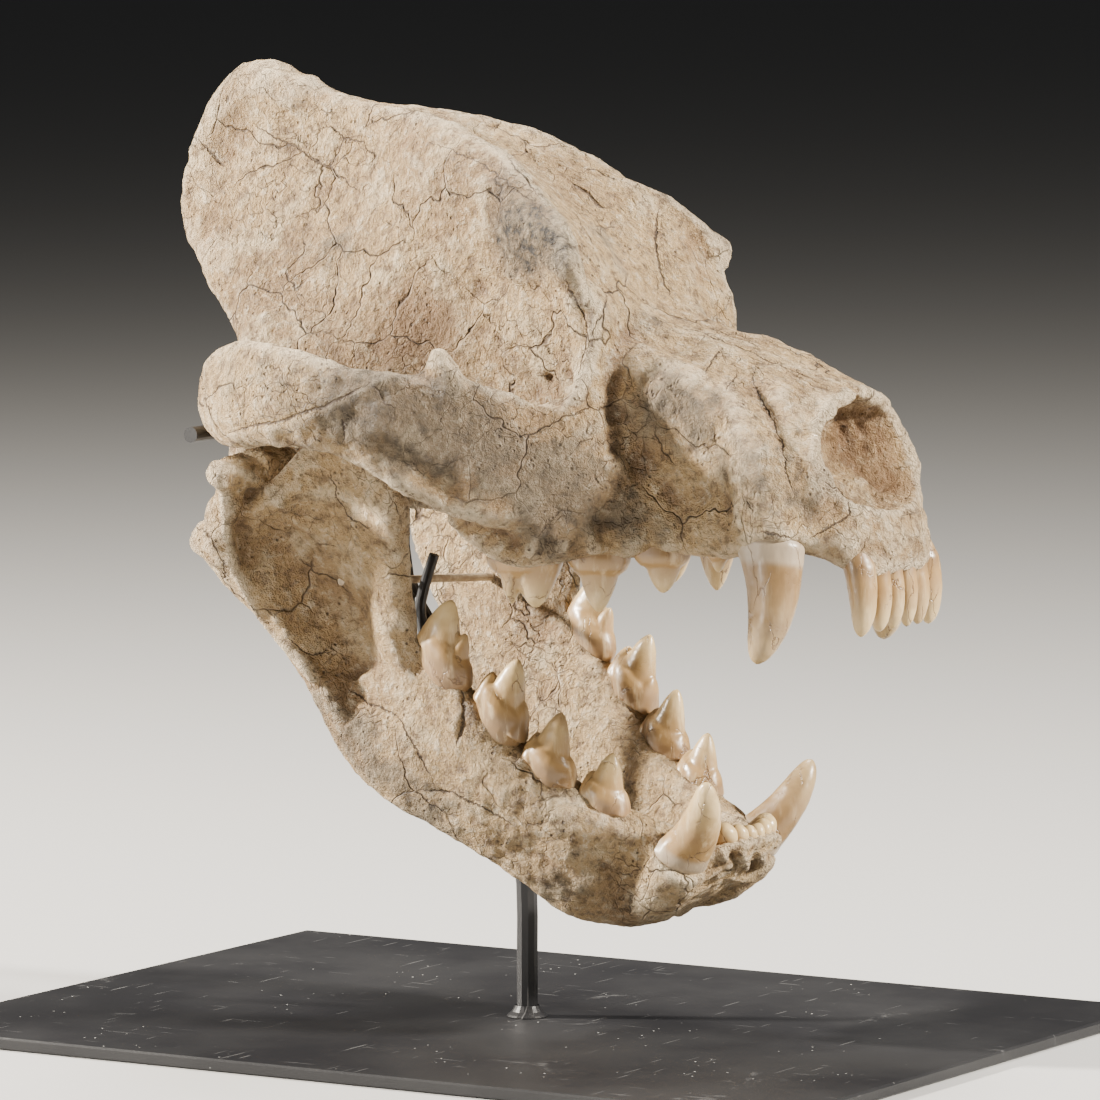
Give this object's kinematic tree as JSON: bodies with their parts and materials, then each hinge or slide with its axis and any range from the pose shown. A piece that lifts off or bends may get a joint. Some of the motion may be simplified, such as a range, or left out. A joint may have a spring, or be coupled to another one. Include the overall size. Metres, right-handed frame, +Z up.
{
  "type": "mounted fossil skull",
  "caption": "Fossil skull of a giant hyaena-like carnivore with bone-cracking teeth and jaws wide open, held above a flat black plate by a bent steel rod.",
  "frame": {"origin": "centre of the plate's underside, on the floor", "axes": "+X the way the snout points, +Y the animal's left, +Z up"},
  "size_m": [0.4, 0.3, 0.3793],
  "materials": {
    "bone": "fossil bone: matt, cracked, cream to grey-brown",
    "enamel": "fossil enamel: honey tan, semi-gloss, paler tips",
    "black_steel": "satin black, scratched and speckled",
    "bone_paint": "matt paint matched to the bone"
  },
  "bodies": {
    "root": {"cranium": "bone", "mandible": "bone", "upper_right_incisor_1": "enamel", "upper_right_incisor_2": "enamel", "upper_right_incisor_3": "enamel", "upper_right_canine": "enamel", "upper_right_premolar_1": "enamel", "upper_right_premolar_2": "enamel", "upper_right_premolar_3": "enamel", "upper_right_premolar_4": "enamel", "upper_left_incisor_1": "enamel", "upper_left_incisor_2": "enamel", "upper_left_incisor_3": "enamel", "upper_left_canine": "enamel", "upper_left_premolar_1": "enamel", "upper_left_premolar_2": "enamel", "upper_left_premolar_3": "enamel", "upper_left_premolar_4": "enamel", "lower_right_incisor_1": "enamel", "lower_right_incisor_2": "enamel", "lower_right_incisor_3": "enamel", "lower_right_canine": "enamel", "lower_right_premolar_2": "enamel", "lower_right_premolar_3": "enamel", "lower_right_premolar_4": "enamel", "lower_right_molar_1": "enamel", "lower_left_incisor_1": "enamel", "lower_left_incisor_2": "enamel", "lower_left_incisor_3": "enamel", "lower_left_canine": "enamel", "lower_left_premolar_2": "enamel", "lower_left_premolar_3": "enamel", "lower_left_premolar_4": "enamel", "lower_left_molar_1": "enamel", "base_plate": "black_steel", "support_rod": "black_steel", "weld_collar": "black_steel", "fork_prong": "black_steel", "rear_crossbar": "black_steel", "jaw_crossbar": "bone_paint"}
  },
  "joints": []
}
